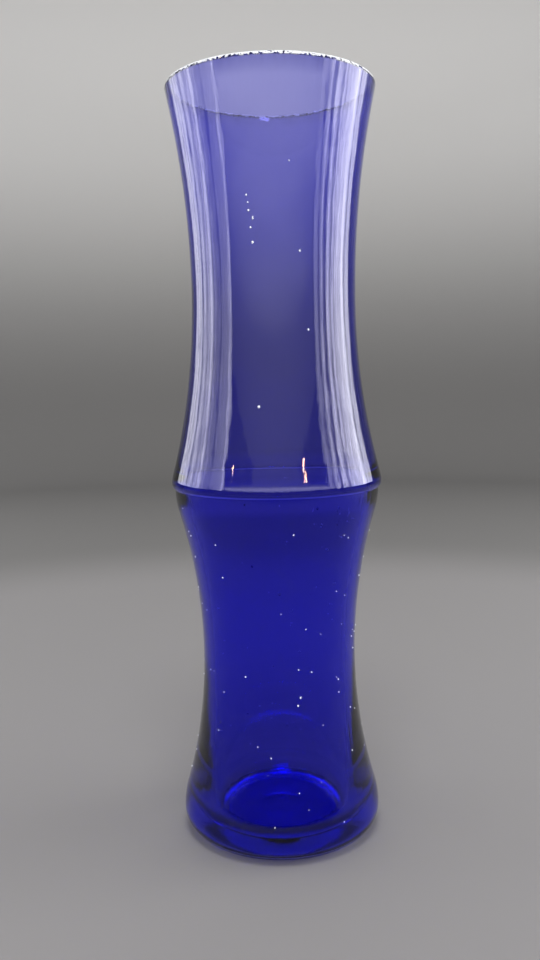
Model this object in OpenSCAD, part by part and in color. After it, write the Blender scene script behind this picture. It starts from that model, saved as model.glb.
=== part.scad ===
// Tall blown-glass vase in the bamboo form: two waisted sections that meet at a
// ring, over a thick foot. Millimetres, +Z up, origin on the table at the centre
// of the foot.
//
// The glass is one continuous wall, thinner above the ring than below it. Its
// outline is worked out once, as arcs that run into each other, and each zone of the
// vase is the slice of that outline between two heights. Neighbouring zones meet
// face to face.

/* [Wall] */
// Thickness of the blown wall above the ring
upper_wall = 2.4; // [1.8:0.1:3.4]
// Thickness of the blown wall below the ring
lower_wall = 4; // [3.2:0.1:5]

/* [Ring] */
// Outer diameter at the ridge of the ring, the widest place of the vase
ridge_d = 79.6; // [75:0.2:92]
// Rounding of the ridge, down to the crease
ridge_round = 3; // [1.5:0.1:5]
// Rounding of the ring above the ridge, up into the upper waist
ring_crown_round = 12; // [3:1:30]
// How far the crease lies inside the ridge
crease_in = 1.15; // [0.5:0.05:2.5]
// Height of the ring, up from the crease
ring_h = 12; // [6:0.5:20]
// Rounding of the hollow behind the ring
ring_hollow_round = 30; // [6:1:45]

/* [Upper section] */
// Height of the upper section, from the crease to the top of the lip
upper_h = 146.5; // [120:0.5:200]
// Outer diameter at the upper waist
upper_waist_d = 61; // [48:0.2:64]
// Height of the upper waist above the crease
upper_waist_up = 72; // [50:1:90]

/* [Lip] */
// How far the lip stays inside the ridge, on each side
lip_in = 1.5; // [0:0.1:5]
// Height of the lip, down from the top of the vase
lip_h = 4; // [2.5:0.1:12]

/* [Lower section] */
// Height of the lower section, from the table to the crease
lower_h = 133.5; // [118:0.5:180]
// Outer diameter at the lower waist
lower_waist_d = 58.8; // [53:0.2:64]
// Height of the lower waist above the table
lower_waist_up = 70; // [56:0.5:80]
// Rounding of the shoulder under the crease, down into the lower waist
shoulder_round = 30; // [6:1:36]

/* [Foot] */
// How far the foot stays inside the ridge, on each side
foot_in = 1.5; // [0:0.1:5]
// Height of the foot, up to the lower section
foot_h = 28; // [24:0.5:40]
// Rounding of the heel, down to the flat underside
heel_round = 8.5; // [4:0.1:12]
// Rounding of the foot above the heel, up into the waist
crown_round = 30; // [10:1:40]
// Thickness of the glass under the hollow
floor_t = 4.5; // [3:0.5:10]
// How far the hollow widens from the waist down to the foot, on each side
bowl_widen = 2.6; // [0.6:0.2:3.4]
// Rounding of the hollow, from its floor up to the wall
bowl_round = 10; // [6:0.5:16]

/* [Hidden] */

vase_h = lower_h + upper_h;
ridge_r = ridge_d / 2;
crease_r = ridge_r - crease_in;
lip_r = ridge_r - lip_in;
foot_r = ridge_r - foot_in;
lip_round = upper_wall / 2;
// How many straight steps each long bend and each small rounding is drawn in
bend_steps = 16;
round_steps = 8;
turn_steps = 144;

// Points along an arc, both ends included
function arc(centre, r, from_a, to_a, steps) =
    [for (i = [0:steps])
        let (a = from_a + (to_a - from_a) * i / steps)
        centre + r * [cos(a), sin(a)]];

// Radius of a bend that leaves the waist upright and runs on into a rounding that
// is fullest at full_r, rise away from the waist
function bend_radius(waist_r, full_r, rise, rounding) =
    (pow(full_r - waist_r, 2) + pow(rise, 2)) / (2 * (full_r - waist_r)) - rounding;

// How far round a bend of radius r reaches, to a point that lies rise away
function turn(rise, r) = asin(rise / r);

// The point nearer the axis that lies r_low from one centre and r_high from the
// other, which is higher
function meeting(low, r_low, high, r_high) =
    let (
        apart = norm(high - low),
        along = (pow(r_low, 2) - pow(r_high, 2) + pow(apart, 2)) / (2 * apart),
        aside = sqrt(pow(r_low, 2) - pow(along, 2)),
        up = (high - low) / apart
    )
    low + along * up + aside * [-up[1], up[0]];

// Upper section: one bend from the waist up to the lip, one down to the ridge
upper_waist_r = upper_waist_d / 2;
upper_waist_z = lower_h + upper_waist_up;
lip_z = vase_h - lip_round;
ridge_under = acos(1 - crease_in / ridge_round);
ridge_z = lower_h + ridge_round * sin(ridge_under);
ridge_at = [ridge_r - ridge_round, ridge_z];
ring_crown_at = [ridge_r - ring_crown_round, ridge_z];
ridge_rise = upper_waist_z - ridge_z;
lip_bend = bend_radius(upper_waist_r, lip_r, lip_z - upper_waist_z, lip_round);
ridge_bend = bend_radius(upper_waist_r, ridge_r, ridge_rise, ring_crown_round);
lip_bend_at = [upper_waist_r + lip_bend, upper_waist_z];
ridge_bend_at = [upper_waist_r + ridge_bend, upper_waist_z];
lip_turn = turn(lip_z - upper_waist_z, lip_bend + lip_round);
ridge_turn = turn(ridge_rise, ridge_bend + ring_crown_round);

// Lower section: one bend from the waist up to the shoulder, one down to the foot
lower_waist_r = lower_waist_d / 2;
shoulder_rise = lower_h - lower_waist_up;
crease_bend = bend_radius(lower_waist_r, crease_r, shoulder_rise, shoulder_round);
foot_bend = bend_radius(lower_waist_r, foot_r, lower_waist_up - heel_round, crown_round);
crease_bend_at = [lower_waist_r + crease_bend, lower_waist_up];
foot_bend_at = [lower_waist_r + foot_bend, lower_waist_up];
crease_turn = turn(shoulder_rise, crease_bend + shoulder_round);
foot_turn = turn(lower_waist_up - heel_round, foot_bend + crown_round);

// Hollow: it keeps the wall's thickness along the bends down to the lower waist and
// is rounded behind the ring
crease_reach = crease_bend + lower_wall + ring_hollow_round;
ridge_reach = ridge_bend + upper_wall + ring_hollow_round;
hollow_at = meeting(crease_bend_at, crease_reach, ridge_bend_at, ridge_reach);
hollow_top_turn = turn(upper_waist_z - hollow_at[1], ridge_reach);
hollow_low_turn = turn(hollow_at[1] - lower_waist_up, crease_reach);

// Bowl: from the lower waist the hollow widens less than the foot outside it, so
// the glass grows thick down to the heel
inner_waist_r = lower_waist_r - lower_wall;
bowl_r = inner_waist_r + bowl_widen;
bowl_z = floor_t + bowl_round;
bowl_bend = bend_radius(inner_waist_r, bowl_r, lower_waist_up - bowl_z, bowl_round);
bowl_bend_at = [inner_waist_r + bowl_bend, lower_waist_up];
bowl_turn = turn(lower_waist_up - bowl_z, bowl_bend + bowl_round);
bowl_at = [bowl_r - bowl_round, bowl_z];

// Outside of the glass, from the middle of the underside up to the lip
outside = concat(
    [[0, 0]],
    arc([foot_r - heel_round, heel_round], heel_round, -90, 0, round_steps),
    arc([foot_r - crown_round, heel_round], crown_round, 0, foot_turn, round_steps),
    arc(foot_bend_at, foot_bend, 180 + foot_turn, 180, bend_steps),
    arc(crease_bend_at, crease_bend, 180, 180 - crease_turn, bend_steps),
    arc([crease_r - shoulder_round, lower_h], shoulder_round, -crease_turn, 0, round_steps),
    arc(ridge_at, ridge_round, -ridge_under, 0, round_steps),
    arc(ring_crown_at, ring_crown_round, 0, ridge_turn, round_steps),
    arc(ridge_bend_at, ridge_bend, 180 + ridge_turn, 180, bend_steps),
    arc(lip_bend_at, lip_bend, 180, 180 - lip_turn, bend_steps)
);

// Inside of the glass, from the lip down to the middle of the floor
inside = concat(
    arc([lip_r - lip_round, lip_z], lip_round, -lip_turn, 90, round_steps),
    arc([lip_r - lip_round, lip_z], lip_round, 90, 180 - lip_turn, round_steps),
    arc(lip_bend_at, lip_bend + upper_wall, 180 - lip_turn, 180, bend_steps),
    arc(ridge_bend_at, ridge_bend + upper_wall, 180, 180 + hollow_top_turn, bend_steps),
    arc(hollow_at, ring_hollow_round, hollow_top_turn, -hollow_low_turn, round_steps),
    arc(crease_bend_at, crease_bend + lower_wall, 180 - hollow_low_turn, 180, bend_steps),
    arc(bowl_bend_at, bowl_bend, 180, 180 + bowl_turn, bend_steps),
    arc(bowl_at, bowl_round, bowl_turn, -90, round_steps),
    [[0, floor_t]]
);

// The ring of glass between two heights
module slice(from_z, to_z) {
    rotate_extrude($fn = turn_steps)
        intersection() {
            polygon(concat(outside, inside));
            translate([0, from_z])
                square([ridge_d, to_z - from_z]);
        }
}

// Rounded lip, ground smooth, where stems go in
module lip() {
    color("lightsteelblue")
        slice(vase_h - lip_h, vase_h);
}

// Waisted wall from the ring up to the lip
module upper_section() {
    color("royalblue")
        slice(lower_h + ring_h, vase_h - lip_h);
}

// Ridge that overhangs the crease, where the two sections meet
module ring() {
    color("slateblue")
        slice(lower_h, lower_h + ring_h);
}

// Waisted wall from the foot up to the crease
module lower_section() {
    color("mediumblue")
        slice(foot_h, lower_h);
}

// Thick foot with a rounded heel, a flat underside and a flat-bottomed bowl
module foot() {
    color("navy")
        slice(0, foot_h);
}

lip();
upper_section();
ring();
lower_section();
foot();
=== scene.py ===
import math
import random

import bpy
from mathutils import Matrix, Vector


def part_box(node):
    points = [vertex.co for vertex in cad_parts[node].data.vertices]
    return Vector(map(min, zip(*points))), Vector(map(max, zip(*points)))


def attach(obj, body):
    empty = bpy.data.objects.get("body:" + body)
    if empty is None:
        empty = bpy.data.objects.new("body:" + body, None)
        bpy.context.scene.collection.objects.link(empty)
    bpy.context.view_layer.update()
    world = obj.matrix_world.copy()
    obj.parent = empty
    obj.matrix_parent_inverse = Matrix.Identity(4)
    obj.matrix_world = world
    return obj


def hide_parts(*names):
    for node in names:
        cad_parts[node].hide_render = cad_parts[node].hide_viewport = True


# Hand-blown cobalt vase in the bamboo form, seen on a pale sweep under soft studio light.
# Metres, +Z up, the table at zero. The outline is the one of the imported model.

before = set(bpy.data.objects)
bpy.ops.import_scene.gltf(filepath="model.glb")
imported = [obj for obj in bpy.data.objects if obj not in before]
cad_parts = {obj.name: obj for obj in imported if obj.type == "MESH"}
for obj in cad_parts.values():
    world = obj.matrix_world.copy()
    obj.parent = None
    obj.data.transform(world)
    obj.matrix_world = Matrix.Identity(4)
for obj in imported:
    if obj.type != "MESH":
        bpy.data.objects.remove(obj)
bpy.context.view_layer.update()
mm = 0.001
samePoint = 0.001 * mm                # nearer points of an outline are one point
sameVertex = 0.002 * mm               # nearer vertices of a spun wall are one vertex
smoothAngle = math.radians(40)        # flatter edges are shaded smooth


# Small helpers

def selectNothing():
    if bpy.context.object and bpy.context.object.mode != "OBJECT":
        bpy.ops.object.mode_set(mode="OBJECT")
    bpy.ops.object.select_all(action="DESELECT")


def pick(*objects):
    selectNothing()
    for obj in objects:
        obj.select_set(True)
    bpy.context.view_layer.objects.active = objects[0]


def applyModifier(obj, kind, **values):
    pick(obj)
    modifier = obj.modifiers.new(kind.title(), kind)
    for key, value in values.items():
        setattr(modifier, key, value)
    bpy.ops.object.modifier_apply(modifier=modifier.name)


def smoothByAngle(obj):
    pick(obj)
    bpy.ops.object.shade_smooth_by_angle(angle=smoothAngle)


def nameObject(obj, name):
    obj.name = obj.data.name = name


# Outline of the glass, as points (radius, height)

vaseShape = {
    "upperWall": 2.4 * mm,
    "lowerWall": 4.0 * mm,
    "ridgeRound": 3.0 * mm,
    "ringCrownRound": 12.0 * mm,
    "creaseIn": 1.15 * mm,
    "ringHollowRound": 30.0 * mm,
    "upperWaistRadius": 30.5 * mm,
    "upperWaistUp": 72.0 * mm,        # above the crease
    "lowerWaistRadius": 29.4 * mm,
    "lowerWaistUp": 70.0 * mm,
    "shoulderRound": 30.0 * mm,
    "heelRound": 8.5 * mm,
    "crownRound": 30.0 * mm,
    "floorThickness": 4.5 * mm,
    "bowlWiden": 2.6 * mm,            # from the waist of the hollow to its foot, on each side
    "bowlRound": 10.0 * mm,
    "puntyRadius": 11.0 * mm,         # polished hollow in the middle of the underside
    "puntyDepth": 0.7 * mm,
    "restRings": (12.0 * mm, 5.0 * mm),   # rings of the flat underside, in from the heel
    "floorRings": (0.66, 0.33, 0.0),  # rings of the hollow's floor, as shares of its radius
    "puntySteps": 6,
    "bendSteps": 13,
    "roundSteps": 8,
    "lipSteps": 9,
    "turnSteps": 480,
}


def arc(center, radius, fromAngle, toAngle, steps):
    angles = [fromAngle + (toAngle - fromAngle) * i / steps for i in range(steps + 1)]
    return [center + radius * Vector((math.cos(a), math.sin(a))) for a in angles]


def bendRadius(waist, full, rise, rounding):
    # a bend that leaves the waist upright and runs on into a rounding, fullest one rise away
    return ((full - waist) ** 2 + rise ** 2) / (2 * (full - waist)) - rounding


def meeting(low, lowRadius, high, highRadius):
    # the point nearer the axis, at one distance from each of two centers
    apart = (high - low).length
    along = (lowRadius ** 2 - highRadius ** 2 + apart ** 2) / (2 * apart)
    aside = math.sqrt(lowRadius ** 2 - along ** 2)
    up = (high - low) / apart
    return low + along * up + aside * Vector((-up.y, up.x))


def vaseOutline(s):
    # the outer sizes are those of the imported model
    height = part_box("lip")[1].z
    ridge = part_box("ring")[1].x
    crease, creaseUp = ridge - s["creaseIn"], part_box("ring")[0].z
    lip, foot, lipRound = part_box("lip")[1].x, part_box("foot")[1].x, s["upperWall"] / 2
    half, full, thin, thick = math.pi / 2, math.pi, s["upperWall"], s["lowerWall"]
    upperWaist, lowerWaist = s["upperWaistRadius"], s["lowerWaistRadius"]

    # upper section: one bend from the waist up to the lip, one down to the ridge
    upperWaistZ, lipZ = creaseUp + s["upperWaistUp"], height - lipRound
    under = math.acos(1 - s["creaseIn"] / s["ridgeRound"])
    ridgeZ = creaseUp + s["ridgeRound"] * math.sin(under)
    ridgeAt = Vector((ridge - s["ridgeRound"], ridgeZ))
    ringCrownAt = Vector((ridge - s["ringCrownRound"], ridgeZ))
    lipBend = bendRadius(upperWaist, lip, lipZ - upperWaistZ, lipRound)
    ridgeBend = bendRadius(upperWaist, ridge, upperWaistZ - ridgeZ, s["ringCrownRound"])
    lipBendAt = Vector((upperWaist + lipBend, upperWaistZ))
    ridgeBendAt = Vector((upperWaist + ridgeBend, upperWaistZ))
    lipTurn = math.asin((lipZ - upperWaistZ) / (lipBend + lipRound))
    ridgeTurn = math.asin((upperWaistZ - ridgeZ) / (ridgeBend + s["ringCrownRound"]))

    # lower section: one bend from the waist up to the shoulder, one down to the foot
    lowerWaistZ = s["lowerWaistUp"]
    creaseBend = bendRadius(lowerWaist, crease, creaseUp - lowerWaistZ, s["shoulderRound"])
    footBend = bendRadius(lowerWaist, foot, lowerWaistZ - s["heelRound"], s["crownRound"])
    creaseBendAt = Vector((lowerWaist + creaseBend, lowerWaistZ))
    footBendAt = Vector((lowerWaist + footBend, lowerWaistZ))
    creaseTurn = math.asin((creaseUp - lowerWaistZ) / (creaseBend + s["shoulderRound"]))
    shoulderAt = Vector((crease - s["shoulderRound"], creaseUp))
    footTurn = math.asin((lowerWaistZ - s["heelRound"]) / (footBend + s["crownRound"]))

    # hollow: an even wall, rounded behind the ring, and a bowl with a flat floor in the foot
    hollow = s["ringHollowRound"]
    creaseReach, ridgeReach = creaseBend + thick + hollow, ridgeBend + thin + hollow
    hollowAt = meeting(creaseBendAt, creaseReach, ridgeBendAt, ridgeReach)
    hollowTop = math.asin((upperWaistZ - hollowAt.y) / ridgeReach)
    hollowLow = math.asin((hollowAt.y - lowerWaistZ) / creaseReach)
    innerWaist, bowlZ = lowerWaist - thick, s["floorThickness"] + s["bowlRound"]
    bowlRadius = innerWaist + s["bowlWiden"]
    bowlBend = bendRadius(innerWaist, bowlRadius, lowerWaistZ - bowlZ, s["bowlRound"])
    bowlBendAt = Vector((innerWaist + bowlBend, lowerWaistZ))
    bowlTurn = math.asin((lowerWaistZ - bowlZ) / (bowlBend + s["bowlRound"]))
    bowlAt = Vector((bowlRadius - s["bowlRound"], bowlZ))

    bend, rounding, lipSteps = s["bendSteps"], s["roundSteps"], s["lipSteps"]
    heelAt = Vector((foot - s["heelRound"], s["heelRound"]))
    crownAt = Vector((foot - s["crownRound"], s["heelRound"]))
    lipAt = Vector((lip - lipRound, lipZ))
    puntySphere = (s["puntyRadius"] ** 2 + s["puntyDepth"] ** 2) / (2 * s["puntyDepth"])
    puntyTurn = math.asin(s["puntyRadius"] / puntySphere)
    puntyAt = Vector((0, s["puntyDepth"] - puntySphere))
    punty = arc(puntyAt, puntySphere, half, half - puntyTurn, s["puntySteps"])
    flat = [Vector((heelAt.x - width, 0)) for width in s["restRings"]]
    outside = punty + flat \
        + arc(heelAt, s["heelRound"], -half, 0, rounding) \
        + arc(crownAt, s["crownRound"], 0, footTurn, rounding) \
        + arc(footBendAt, footBend, full + footTurn, full, bend) \
        + arc(creaseBendAt, creaseBend, full, full - creaseTurn, bend) \
        + arc(shoulderAt, s["shoulderRound"], -creaseTurn, 0, rounding) \
        + arc(ridgeAt, s["ridgeRound"], -under, 0, rounding) \
        + arc(ringCrownAt, s["ringCrownRound"], 0, ridgeTurn, rounding) \
        + arc(ridgeBendAt, ridgeBend, full + ridgeTurn, full, bend) \
        + arc(lipBendAt, lipBend, full, full - lipTurn, bend)
    inside = arc(lipAt, lipRound, -lipTurn, half, lipSteps) \
        + arc(lipAt, lipRound, half, full - lipTurn, lipSteps) \
        + arc(lipBendAt, lipBend + thin, full - lipTurn, full, bend) \
        + arc(ridgeBendAt, ridgeBend + thin, full, full + hollowTop, bend) \
        + arc(hollowAt, hollow, hollowTop, -hollowLow, rounding) \
        + arc(creaseBendAt, creaseBend + thick, full - hollowLow, full, bend) \
        + arc(bowlBendAt, bowlBend, full, full + bowlTurn, bend) \
        + arc(bowlAt, s["bowlRound"], bowlTurn, -half, rounding) \
        + [Vector((bowlAt.x * k, s["floorThickness"])) for k in s["floorRings"]]
    points = []
    for point in outside + inside:
        if not points or (point - points[-1]).length > samePoint:
            points.append(point)
    return points


def spinOutline(points, steps):
    # one vertex is drawn along the outline, and the line is spun into the closed wall
    selectNothing()
    bpy.ops.mesh.primitive_plane_add(size=mm, location=(points[0].x, 0, points[0].y))
    bpy.ops.object.mode_set(mode="EDIT")
    bpy.ops.mesh.select_all(action="SELECT")
    bpy.ops.mesh.merge(type="CENTER")
    for here, there in zip(points, points[1:]):
        step = (there.x - here.x, 0, there.y - here.y)
        bpy.ops.mesh.extrude_region_move(TRANSFORM_OT_translate={"value": step})
    bpy.ops.mesh.select_all(action="SELECT")
    bpy.ops.mesh.spin(steps=steps, angle=2 * math.pi, center=(0, 0, 0), axis=(0, 0, 1))
    bpy.ops.mesh.select_all(action="SELECT")
    bpy.ops.mesh.remove_doubles(threshold=sameVertex)
    bpy.ops.mesh.normals_make_consistent(inside=False)
    bpy.ops.object.mode_set(mode="OBJECT")
    spun = bpy.context.object
    pick(spun)
    bpy.ops.object.transform_apply(location=True, rotation=True, scale=True)
    return spun


print("Spinning the wall of the vase")
outline = vaseOutline(vaseShape)
vase = spinOutline(outline, vaseShape["turnSteps"])
nameObject(vase, "vase")


# The lip is ground, with small chips, and the wall is a little uneven, as blown glass is

handWork = {
    "unevenDepth": 0.12 * mm,
    "unevenSize": 34 * mm,
    "chipDepth": 0.34 * mm,
    "chipSize": 1.5 * mm,
    "groundFrom": 1.1 * mm,           # below the top of the lip
    "groundTo": 0.2 * mm,
    "standingFrom": 0.5 * mm,         # the foot stays flat where it stands
    "standingTo": 12 * mm,
}


def weightByHeight(obj, name, fromZ, toZ):
    group = obj.vertex_groups.new(name=name)
    for vertex in obj.data.vertices:
        weight = (vertex.co.z - fromZ) / (toZ - fromZ)
        if weight > 0:
            group.add([vertex.index], min(1.0, weight), "REPLACE")


def noiseTexture(name, size, kind):
    texture = bpy.data.textures.new(name, kind)
    texture.noise_scale = size
    return texture


def pressIn(obj, texture, depth, **values):
    # the surface moves inwards only, so the piece stays in its box
    applyModifier(
        obj, "DISPLACE", texture=texture, texture_coords="LOCAL", direction="NORMAL",
        strength=depth, mid_level=1.0, **values,
    )


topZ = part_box("lip")[1].z
weightByHeight(vase, "standing", handWork["standingFrom"], handWork["standingTo"])
weightByHeight(vase, "ground", topZ - handWork["groundFrom"], topZ - handWork["groundTo"])
unevenWall = noiseTexture("unevenWall", handWork["unevenSize"], "CLOUDS")
unevenWall.noise_depth = 1
lipChips = noiseTexture("lipChips", handWork["chipSize"], "VORONOI")
pressIn(vase, unevenWall, handWork["unevenDepth"], vertex_group="standing")
pressIn(vase, lipChips, handWork["chipDepth"], vertex_group="ground")
smoothByAngle(vase)


# Seeds: small closed bubbles inside the wall, drawn out upwards as the glass was blown

seeds = {
    "count": 30,
    "radius": (0.14 * mm, 0.36 * mm),
    "draw": (1.0, 2.2),
    "height": (14 * mm, 270 * mm),
    "depth": (0.3, 0.7),              # share of the wall, from its inner side out
    "seed": 11,
    # pale ones that have come up to the outer surface
    "surfaceCount": 120,
    "surfaceRadius": (0.14 * mm, 0.32 * mm),
    "surfaceDraw": (1.0, 1.5),
    "surfaceHeight": (12 * mm, 128 * mm),
    "surfaceDepth": 0.98,
    # the plainest ones, on the surface: azimuth from the camera in degrees, height, radius, draw
    "plainestDepth": 1.0,
    "plainest": [
        (-16.0, 236.0 * mm, 0.32 * mm, 1.3), (-15.3, 233.6 * mm, 0.26 * mm, 1.2),
        (-15.0, 231.0 * mm, 0.30 * mm, 1.4), (-12.5, 228.5 * mm, 0.27 * mm, 2.4),
        (-14.0, 225.4 * mm, 0.33 * mm, 1.1), (-13.0, 220.5 * mm, 0.42 * mm, 1.3),
        (-10.0, 165.0 * mm, 0.46 * mm, 1.1), (17.0, 217.5 * mm, 0.27 * mm, 1.8),
        (22.0, 191.0 * mm, 0.30 * mm, 1.5), (10.0, 246.5 * mm, 0.26 * mm, 1.0),
    ],
}


def wallAt(z):
    # outer and inner radius of the wall at a height
    hits = []
    for a, b in zip(outline, outline[1:]):
        if (a.y - z) * (b.y - z) < 0:
            hits.append(a.x + (b.x - a.x) * (z - a.y) / (b.y - a.y))
    return max(hits), min(hits)


def addSeed(angle, z, radius, draw, depth, hollow=True):
    outer, inner = wallAt(z)
    r = inner + (outer - inner) * depth
    selectNothing()
    bpy.ops.mesh.primitive_ico_sphere_add(
        subdivisions=2, radius=radius,
        location=(r * math.sin(angle), -r * math.cos(angle), z),
    )
    bpy.ops.object.mode_set(mode="EDIT")
    bpy.ops.mesh.select_all(action="SELECT")
    bpy.ops.transform.resize(value=(1, 1, draw))
    if hollow:
        bpy.ops.mesh.flip_normals()   # the faces look into the bubble, away from the glass
    bpy.ops.mesh.faces_shade_smooth()
    bpy.ops.object.mode_set(mode="OBJECT")
    return bpy.context.object


print("Adding seeds")
dice = random.Random(seeds["seed"])
bubbles = []
for i in range(seeds["count"]):
    z = dice.uniform(*seeds["height"])
    bubbles.append(addSeed(
        dice.uniform(-math.pi, math.pi), z, dice.uniform(*seeds["radius"]),
        dice.uniform(*seeds["draw"]), dice.uniform(*seeds["depth"]),
    ))
pick(vase, *bubbles)
bpy.ops.object.join()
blisters = []
for azimuth, z, radius, draw in seeds["plainest"]:
    blisters.append(addSeed(
        math.radians(azimuth), z, radius, draw, seeds["plainestDepth"], hollow=False))
for i in range(seeds["surfaceCount"]):
    blisters.append(addSeed(
        dice.uniform(-math.pi, math.pi), dice.uniform(*seeds["surfaceHeight"]),
        dice.uniform(*seeds["surfaceRadius"]), dice.uniform(*seeds["surfaceDraw"]),
        seeds["surfaceDepth"], hollow=False,
    ))
pick(*blisters)
bpy.ops.object.join()
surfaceSeeds = bpy.context.object
nameObject(surfaceSeeds, "surfaceSeeds")
bpy.ops.object.transform_apply(location=True, rotation=True, scale=True)


# Frost: a thin broken skin on the ground edge, where the chipped glass scatters the light

frost = {
    "reach": 1.9 * mm,                # down from the top of the lip
    "thickness": 0.04 * mm,
    # noises: size, draw, detail
    "teeth": (0.85 * mm, 1.2, 1.0),
    "grit": (0.22 * mm, 1.0, 3.0),
    "topFrom": 0.3 * mm,              # whole from here up, below the top of the lip
    "toothDepth": 4.5,                # how far down the teeth reach
    "innerFrom": 36.8 * mm,           # the inner side, by its distance from the axis
    "innerTo": 37.5 * mm,
    "innerLess": 0.55,                # more of the skin is broken away there
    "cut": 0.36,                      # how much of the skin is broken away
    "sharpness": 6.0,
    "ior": 1.5,
    "color": (0.93, 0.95, 0.97),
    "dull": (0.80, 0.85, 0.94),
    "rough": (0.12, 0.4),             # the least, and what the grit adds
    "gritRelief": 0.12 * mm,
}


def addFrost(s):
    edge = [point for point in outline if point.y > topZ - s["reach"]]
    skin = spinOutline(edge, vaseShape["turnSteps"])
    nameObject(skin, "lipFrost")
    pressIn(skin, unevenWall, handWork["unevenDepth"])
    applyModifier(skin, "SOLIDIFY", thickness=s["thickness"], offset=-1.0)
    smoothByAngle(skin)
    return skin


print("Adding the frosted edge")
lipFrost = addFrost(frost)


# Materials: the glass, the frosted edge and the pale seeds

cobaltGlass = {
    "ior": 1.5,
    "absorbColor": (0.10, 0.11, 0.985),
    "absorbDensity": 620.0,
    "specularTint": (0.76, 0.74, 0.88),
    # noises: size, draw, detail
    "smudge": (11 * mm, 1.6, 4.0),
    "grit": (0.35 * mm, 1.0, 3.0),
    "streak": (2.2 * mm, 60.0, 2.0),
    "wave": (16 * mm, 1.7, 1.0),
    # where the glass is ground, below the top of the lip, and worn, above the table
    "groundFrom": 1.0 * mm,
    "groundTo": 0.5 * mm,
    "wornFrom": 0.25 * mm,
    "wornTo": 0.02 * mm,
    "smudgeRough": 0.02,
    "groundRough": 0.5,
    "wornRough": 0.2,
    "underRough": 0.05,
    "streakRelief": 0.045 * mm,
    "waveRelief": 0.10 * mm,
    "gritRelief": 0.10 * mm,
    "clear": (0.99, 0.99, 1.0),
    "smudged": (0.93, 0.95, 0.98),
    # painted reflection: the grey tint up the upper wall stands in for the veil of reflected
    # light on the glass
    "paintedVeilColor": (0.97, 0.98, 0.92),      # the upper wall is a little greyer
    "paintedVeilFrom": 150 * mm,
    "paintedVeilTo": 205 * mm,
}

blister = {
    "ior": 1.5,
    "color": frost["color"],
    "dull": frost["dull"],
    "grit": (0.3 * mm, 1.0, 2.0),     # size, draw, detail
    "rough": (0.08, 0.3),             # the least, and what the grit adds
}


def addNode(tree, kind, **inputs):
    node = tree.nodes.new(kind)
    for key, value in inputs.items():
        node.inputs[key.replace("_", " ")].default_value = value
    return node


def newGroup(name, inputs, output):
    group = bpy.data.node_groups.new(name, "ShaderNodeTree")
    for label, value in inputs.items():
        socket = group.interface.new_socket(label, in_out="INPUT", socket_type="NodeSocketFloat")
        socket.default_value = value
    group.interface.new_socket(output, in_out="OUTPUT", socket_type="NodeSocketFloat")
    return group, group.nodes.new("NodeGroupInput"), group.nodes.new("NodeGroupOutput")


def math2(tree, operation, a, b):
    node = tree.nodes.new("ShaderNodeMath")
    node.operation = operation
    for i, value in enumerate((a, b)):
        if hasattr(value, "links"):
            tree.links.new(value, node.inputs[i])
        else:
            node.inputs[i].default_value = value
    return node.outputs[0]


def scaled(tree, value, factor):
    return math2(tree, "MULTIPLY", value, factor)


def drawnNoiseGroup():
    # noise drawn out along the height of the piece
    inputs = {"Size": 6 * mm, "Draw": 20.0, "Detail": 2.0}
    group, start, end = newGroup("drawnNoise", inputs, "Height")
    coord = group.nodes.new("ShaderNodeTexCoord")
    split = group.nodes.new("ShaderNodeSeparateXYZ")
    join = group.nodes.new("ShaderNodeCombineXYZ")
    group.links.new(coord.outputs["Object"], split.inputs[0])
    drawn = scaled(group, start.outputs["Size"], start.outputs["Draw"])
    for axis, size in (("X", start.outputs["Size"]), ("Y", start.outputs["Size"]), ("Z", drawn)):
        group.links.new(math2(group, "DIVIDE", split.outputs[axis], size), join.inputs[axis])
    noise = addNode(group, "ShaderNodeTexNoise", Scale=1.0, Roughness=0.5)
    group.links.new(join.outputs[0], noise.inputs["Vector"])
    group.links.new(start.outputs["Detail"], noise.inputs["Detail"])
    group.links.new(noise.outputs["Fac"], end.inputs["Height"])
    return group


def heightOf(tree, place):
    split = tree.nodes.new("ShaderNodeSeparateXYZ")
    tree.links.new(place, split.inputs[0])
    return split.outputs["Z"]


def distanceFromAxis(tree, place):
    flat = tree.nodes.new("ShaderNodeVectorMath")
    flat.operation = "MULTIPLY"
    flat.inputs[1].default_value = (1, 1, 0)
    length = tree.nodes.new("ShaderNodeVectorMath")
    length.operation = "LENGTH"
    tree.links.new(place, flat.inputs[0])
    tree.links.new(flat.outputs[0], length.inputs[0])
    return length.outputs["Value"]


def bandGroup(name, measure):
    # a mask that goes softly from zero at one measure to one at the other
    group, start, end = newGroup(name, {"From": 0.0, "To": 1.0}, "Mask")
    coord = group.nodes.new("ShaderNodeTexCoord")
    ramp = group.nodes.new("ShaderNodeMapRange")
    ramp.interpolation_type = "SMOOTHSTEP"
    group.links.new(measure(group, coord.outputs["Object"]), ramp.inputs["Value"])
    group.links.new(start.outputs["From"], ramp.inputs["From Min"])
    group.links.new(start.outputs["To"], ramp.inputs["From Max"])
    group.links.new(ramp.outputs[0], end.inputs["Mask"])
    return group


noiseMean = 0.5                       # of every noise
drawnNoise = drawnNoiseGroup()
heightBand = bandGroup("heightBand", heightOf)
distanceBand = bandGroup("distanceBand", distanceFromAxis)


def mixColor(tree, factor, a, b):
    node = tree.nodes.new("ShaderNodeMix")
    node.data_type = "RGBA"
    tree.links.new(factor, node.inputs["Factor"])
    for name, value in (("A", a), ("B", b)):
        if hasattr(value, "links"):
            tree.links.new(value, node.inputs[name])
        else:
            node.inputs[name].default_value = (*value, 1)
    return node.outputs["Result"]


def placeGroup(tree, group, **values):
    node = tree.nodes.new("ShaderNodeGroup")
    node.node_tree = group
    for key, value in values.items():
        node.inputs[key].default_value = value
    return node.outputs[0]


def placeNoise(tree, size, draw, detail):
    return placeGroup(tree, drawnNoise, Size=size, Draw=draw, Detail=detail)


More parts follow.
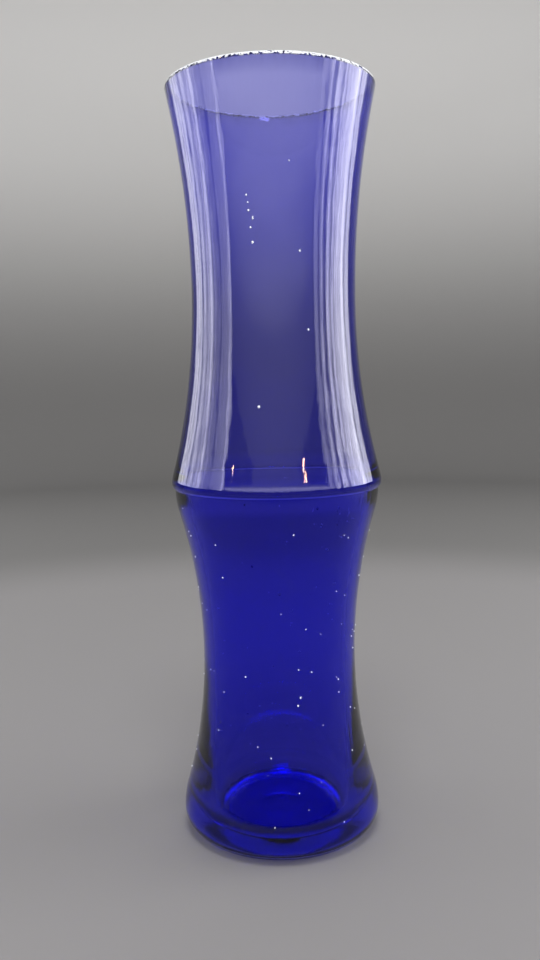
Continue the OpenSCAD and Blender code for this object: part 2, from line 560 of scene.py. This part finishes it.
def addBump(tree, height, shader):
    # the height is in metres
    bump = addNode(tree, "ShaderNodeBump", Strength=1.0, Distance=1.0)
    tree.links.new(height, bump.inputs["Height"])
    tree.links.new(bump.outputs["Normal"], shader.inputs["Normal"])


def newMaterial(name):
    material = bpy.data.materials.new(name)
    material.use_nodes = True
    return material, material.node_tree, material.node_tree.nodes["Principled BSDF"]


def glassMaterial(s):
    material = bpy.data.materials.new("cobaltGlass")
    material.use_nodes = True
    tree = material.node_tree
    tree.nodes.clear()
    out = tree.nodes.new("ShaderNodeOutputMaterial")
    glass = addNode(tree, "ShaderNodeBsdfPrincipled", Metallic=0.0, IOR=s["ior"])
    glass.inputs["Transmission Weight"].default_value = 1.0
    glass.inputs["Specular Tint"].default_value = (*s["specularTint"], 1)
    absorb = addNode(tree, "ShaderNodeVolumeAbsorption", Density=s["absorbDensity"])
    absorb.inputs["Color"].default_value = (*s["absorbColor"], 1)
    tree.links.new(glass.outputs[0], out.inputs["Surface"])
    tree.links.new(absorb.outputs[0], out.inputs["Volume"])

    groundFrom, groundTo = topZ - s["groundFrom"], topZ - s["groundTo"]
    ground = placeGroup(tree, heightBand, From=groundFrom, To=groundTo)
    worn = placeGroup(tree, heightBand, From=s["wornFrom"], To=s["wornTo"])
    noises = (placeNoise(tree, *s[name]) for name in ("smudge", "grit", "streak", "wave"))
    smudge, grit, streak, wave = noises

    # roughness: clear wall with faint smudges, frosted lip, rubbed underside
    faint = scaled(tree, smudge, s["smudgeRough"])
    frosted = scaled(tree, ground, scaled(tree, grit, s["groundRough"]))
    gritty = math2(tree, "ADD", scaled(tree, grit, s["wornRough"]), s["underRough"])
    rubbed = scaled(tree, worn, gritty)
    rough = math2(tree, "ADD", faint, math2(tree, "ADD", frosted, rubbed))
    tree.links.new(rough, glass.inputs["Roughness"])

    # relief: long streaks and slow waves of the blown wall, grit where it is ground
    streaks = scaled(tree, streak, s["streakRelief"])
    height = math2(tree, "ADD", streaks, scaled(tree, wave, s["waveRelief"]))
    gritHeight = scaled(tree, scaled(tree, grit, ground), s["gritRelief"])
    addBump(tree, math2(tree, "ADD", height, gritHeight), glass)

    # the clear body is a touch greyer where it is smudged, and up the upper wall a painted
    # reflection veil makes it greyer still, standing in for reflected light
    paintedVeilMask = placeGroup(tree, heightBand, From=s["paintedVeilFrom"], To=s["paintedVeilTo"])
    body = mixColor(tree, paintedVeilMask, mixColor(tree, smudge, s["clear"], s["smudged"]), s["paintedVeilColor"])
    tree.links.new(body, glass.inputs["Base Color"])
    return material


def gritColors(tree, grit, s, skin):
    # paler and rougher where the grit is high
    tree.links.new(mixColor(tree, grit, s["dull"], s["color"]), skin.inputs["Base Color"])
    least, added = s["rough"]
    rough = math2(tree, "ADD", scaled(tree, grit, added), least)
    tree.links.new(rough, skin.inputs["Roughness"])


def frostMaterial(s):
    material, tree, skin = newMaterial("groundEdge")
    skin.inputs["IOR"].default_value = s["ior"]
    teeth = placeNoise(tree, *s["teeth"])
    grit = placeNoise(tree, *s["grit"])
    upward = placeGroup(tree, heightBand, From=topZ - s["reach"], To=topZ - s["topFrom"])
    inward = placeGroup(tree, distanceBand, From=s["innerTo"], To=s["innerFrom"])

    # whole on the top of the edge, broken up into teeth below it and into specks inside
    toothed = scaled(tree, math2(tree, "SUBTRACT", teeth, noiseMean), s["toothDepth"])
    ragged = math2(tree, "ADD", upward, toothed)
    ragged = math2(tree, "SUBTRACT", ragged, scaled(tree, inward, s["innerLess"]))
    ragged = scaled(tree, math2(tree, "SUBTRACT", ragged, s["cut"]), s["sharpness"])
    clamp = tree.nodes.new("ShaderNodeClamp")
    tree.links.new(ragged, clamp.inputs["Value"])
    tree.links.new(clamp.outputs[0], skin.inputs["Alpha"])

    gritColors(tree, grit, s, skin)
    addBump(tree, scaled(tree, grit, s["gritRelief"]), skin)
    return material


def blisterMaterial(s):
    material, tree, skin = newMaterial("paleBlister")
    skin.inputs["IOR"].default_value = s["ior"]
    gritColors(tree, placeNoise(tree, *s["grit"]), s, skin)
    return material


def giveMaterial(obj, material):
    obj.data.materials.clear()
    obj.data.materials.append(material)


print("Making the glass")
giveMaterial(vase, glassMaterial(cobaltGlass))
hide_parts("lip", "upper_section", "ring", "lower_section", "foot")
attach(vase, "root")
giveMaterial(lipFrost, frostMaterial(frost))
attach(lipFrost, "root")
giveMaterial(surfaceSeeds, blisterMaterial(blister))
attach(surfaceSeeds, "root")


# Stage: a round pale floor that turns up into a low wall, seen alike from all sides

stage = {
    "radius": 1.45,
    "wallHeight": 1.20,
    "corner": 0.3,
    "drop": 0.15 * mm,                # the floor lies this far under the foot
    "floorColor": (0.245, 0.238, 0.240),
    # painted pool of light: the floor is paler under the hollow of the vase, as if lit through
    # the glass, to brighten the glow in the foot
    "pooledLightColor": (0.92, 0.92, 0.93),
    "pooledLightFrom": 27 * mm,             # the floor is paler under the hollow of the vase
    "pooledLightTo": 23 * mm,
    "farColor": (0.175, 0.172, 0.170),
    "farFrom": 0.42,                  # distance from the vase
    "farTo": 0.62,
    "wallColor": (0.80, 0.793, 0.785),
    "wallFrom": 0.11,                 # height on the wall
    "wallTo": 0.82,
    "gloss": 0.1,
    "rough": 0.85,
    "turnSteps": 96,
    "cornerSteps": 14,
}


def makeSweep(s):
    selectNothing()
    bpy.ops.mesh.primitive_circle_add(
        vertices=s["turnSteps"], radius=s["radius"], fill_type="NGON",
        location=(0, 0, -s["drop"]),
    )
    sweep = bpy.context.object
    nameObject(sweep, "sweep")
    bpy.ops.object.mode_set(mode="EDIT")
    bpy.ops.mesh.select_mode(type="EDGE")
    bpy.ops.mesh.select_all(action="SELECT")
    bpy.ops.mesh.extrude_edges_move(TRANSFORM_OT_translate={"value": (0, 0, s["wallHeight"])})
    bpy.ops.object.mode_set(mode="OBJECT")
    # the edges on the floor are rounded into the corner of the sweep
    for edge in sweep.data.edges:
        edge.select = all(sweep.data.vertices[i].co.z < mm for i in edge.vertices)
    bpy.ops.object.mode_set(mode="EDIT")
    bpy.ops.mesh.bevel(offset=s["corner"], segments=s["cornerSteps"], affect="EDGES")
    bpy.ops.object.mode_set(mode="OBJECT")
    pick(sweep)
    bpy.ops.object.shade_smooth()
    bpy.ops.object.transform_apply(location=True, rotation=True, scale=True)
    return sweep


def sweepMaterial(s):
    material, tree, paper = newMaterial("paleSweep")
    paper.inputs["Specular IOR Level"].default_value = s["gloss"]
    paper.inputs["Roughness"].default_value = s["rough"]
    far = placeGroup(tree, distanceBand, From=s["farFrom"], To=s["farTo"])
    high = placeGroup(tree, heightBand, From=s["wallFrom"], To=s["wallTo"])
    # painted pool of light on the floor under the hollow of the vase
    under = placeGroup(tree, distanceBand, From=s["pooledLightFrom"], To=s["pooledLightTo"])
    near = mixColor(tree, under, s["floorColor"], s["pooledLightColor"])
    ground = mixColor(tree, far, near, s["farColor"])
    tree.links.new(mixColor(tree, high, ground, s["wallColor"]), paper.inputs["Base Color"])
    return material


print("Setting the stage")
sweep = makeSweep(stage)
sweep.data.materials.append(sweepMaterial(stage))


# Light

lights = {
    "world": 0.20,
    "boxes": [
        # name, azimuth from the camera in degrees (left is negative), distance,
        # height of its middle, width, height, level
        ("topBox", 0, 0.55, 1.40, 0.40, 0.40, 13.0),
        ("backBox", 180, 0.80, 1.15, 1.20, 0.60, 1.5),
        ("frontBox", 0, 0.65, 0.24, 2.00, 0.32, 3.4),
        ("leftBox", -96, 0.95, 0.305, 1.56, 0.41, 4.6),
        ("rightBox", 91, 0.95, 0.305, 1.36, 0.41, 7.4),
        ("warmLeft", -50.5, 0.90, 0.462, 0.018, 0.034, 50.0),
        ("warmRight", 30.8, 0.90, 0.482, 0.022, 0.026, 56.0),
    ],
    # how the level changes along a box: its axis, and pairs of place and share of the level
    "shades": {
        "frontBox": ("height", [
            (0.08, 0.0), (0.12, 0.6), (0.16, 0.95), (0.225, 1.0), (0.26, 0.55),
            (0.30, 0.22), (0.40, 0.10),
        ]),
        "leftBox": ("azimuth", [
            (-136, 0.1), (-130, 0.6), (-112, 0.6), (-102, 0.75), (-97, 1.0), (-90, 0.62),
            (-82, 0.42), (-70, 0.5), (-63, 0.6), (-61.5, 1.0), (-58.5, 1.0), (-57, 0.02),
        ]),
        "rightBox": ("azimuth", [
            (52, 0.15), (58, 0.38), (74, 0.5), (80, 0.82), (98, 0.88), (104, 1.0), (110, 0.95),
            (114, 0.6), (121, 0.45), (125, 0.05),
        ]),
    },
    "streaks": 3.2,                   # how much the side boxes are streaked, like drawn curtains
    "streakSize": 5.0,                # in degrees
    "streakDetail": 2.0,
    "warmColor": (1.0, 0.54, 0.24),
    "aim": 0.14,                      # height that the boxes are turned to
    "throughGlass": ("topBox", "backBox"),   # the others are only seen reflected
}


def addSoftbox(name, azimuth, distance, height, width, tall, level, aim):
    turn = math.radians(azimuth)
    place = Vector((distance * math.sin(turn), -distance * math.cos(turn), height))
    selectNothing()
    bpy.ops.object.light_add(type="AREA", location=place)
    lamp = bpy.context.object
    nameObject(lamp, name)
    lamp.rotation_euler = (Vector((0, 0, aim)) - place).to_track_quat("-Z", "Y").to_euler()
    lamp.data.shape = "RECTANGLE"
    lamp.data.size, lamp.data.size_y = width, tall
    lamp.data.energy = level * 4 * width * tall   # the level is alike for boxes of any size
    lamp.visible_camera = False
    lamp.visible_transmission = name in lights["throughGlass"]
    return lamp


def shadeLamp(lamp, s, axis, stops):
    # a box is shaded along its height, or else along its azimuth with streaks
    lamp.data.use_nodes = True
    tree = lamp.data.node_tree
    place = tree.nodes.new("ShaderNodeSeparateXYZ")
    tree.links.new(tree.nodes.new("ShaderNodeNewGeometry").outputs["Position"], place.inputs[0])
    low, high = stops[0][0], stops[-1][0]
    along = place.outputs["Z"]
    if axis == "azimuth":
        turn = math2(tree, "ARCTAN2", place.outputs["X"], scaled(tree, place.outputs["Y"], -1.0))
        along = scaled(tree, turn, 180 / math.pi)
    share = math2(tree, "DIVIDE", math2(tree, "SUBTRACT", along, low), high - low)
    ramp = tree.nodes.new("ShaderNodeValToRGB")
    while len(ramp.color_ramp.elements) < len(stops):
        ramp.color_ramp.elements.new(0.5)
    for element, (at, level) in zip(ramp.color_ramp.elements, stops):
        element.position = (at - low) / (high - low)
        element.color = (level, level, level, 1)
    tree.links.new(share, ramp.inputs["Fac"])
    strength = ramp.outputs["Color"]
    if axis == "azimuth":
        noise = addNode(tree, "ShaderNodeTexNoise", Scale=1.0, Detail=s["streakDetail"])
        noise.noise_dimensions = "1D"
        tree.links.new(math2(tree, "DIVIDE", along, s["streakSize"]), noise.inputs["W"])
        uneven = math2(tree, "SUBTRACT", noise.outputs["Fac"], noiseMean)
        streaked = math2(tree, "ADD", scaled(tree, uneven, s["streaks"]), 1.0)
        strength = scaled(tree, strength, streaked)
    tree.links.new(strength, tree.nodes["Emission"].inputs["Strength"])


print("Setting the lamps")
for box in lights["boxes"]:
    lamp = addSoftbox(*box, lights["aim"])
    if lamp.name.startswith("warm"):
        lamp.data.color = lights["warmColor"]
    if lamp.name in lights["shades"]:
        shadeLamp(lamp, lights, *lights["shades"][lamp.name])
world = bpy.data.worlds.new("room")
bpy.context.scene.world = world
world.use_nodes = True
world.node_tree.nodes["Background"].inputs["Color"].default_value = (*[lights["world"]] * 3, 1)


# Camera, at the height and distance from which the picture was taken

view = {
    "place": (-2.5 * mm, -341.9 * mm, 175.3 * mm),
    "down": 6.57,                     # degrees below the horizon
    "roll": -1.02,
    "lens": 33.75,
    "nearest": 0.01,
    "farthest": 20,
}


def addCamera(s):
    selectNothing()
    bpy.ops.object.camera_add(location=s["place"])
    camera = bpy.context.object
    camera.name = "camera"
    tilt = Matrix.Rotation(math.radians(90 - s["down"]), 4, "X")
    roll = Matrix.Rotation(math.radians(s["roll"]), 4, "Z")
    camera.rotation_euler = (tilt @ roll).to_euler()
    camera.data.lens = s["lens"]
    camera.data.clip_start, camera.data.clip_end = s["nearest"], s["farthest"]
    bpy.context.scene.camera = camera


addCamera(view)
bpy.context.scene.view_settings.view_transform = "Standard"

selectNothing()
print("Finished", len(vase.data.polygons), "faces")
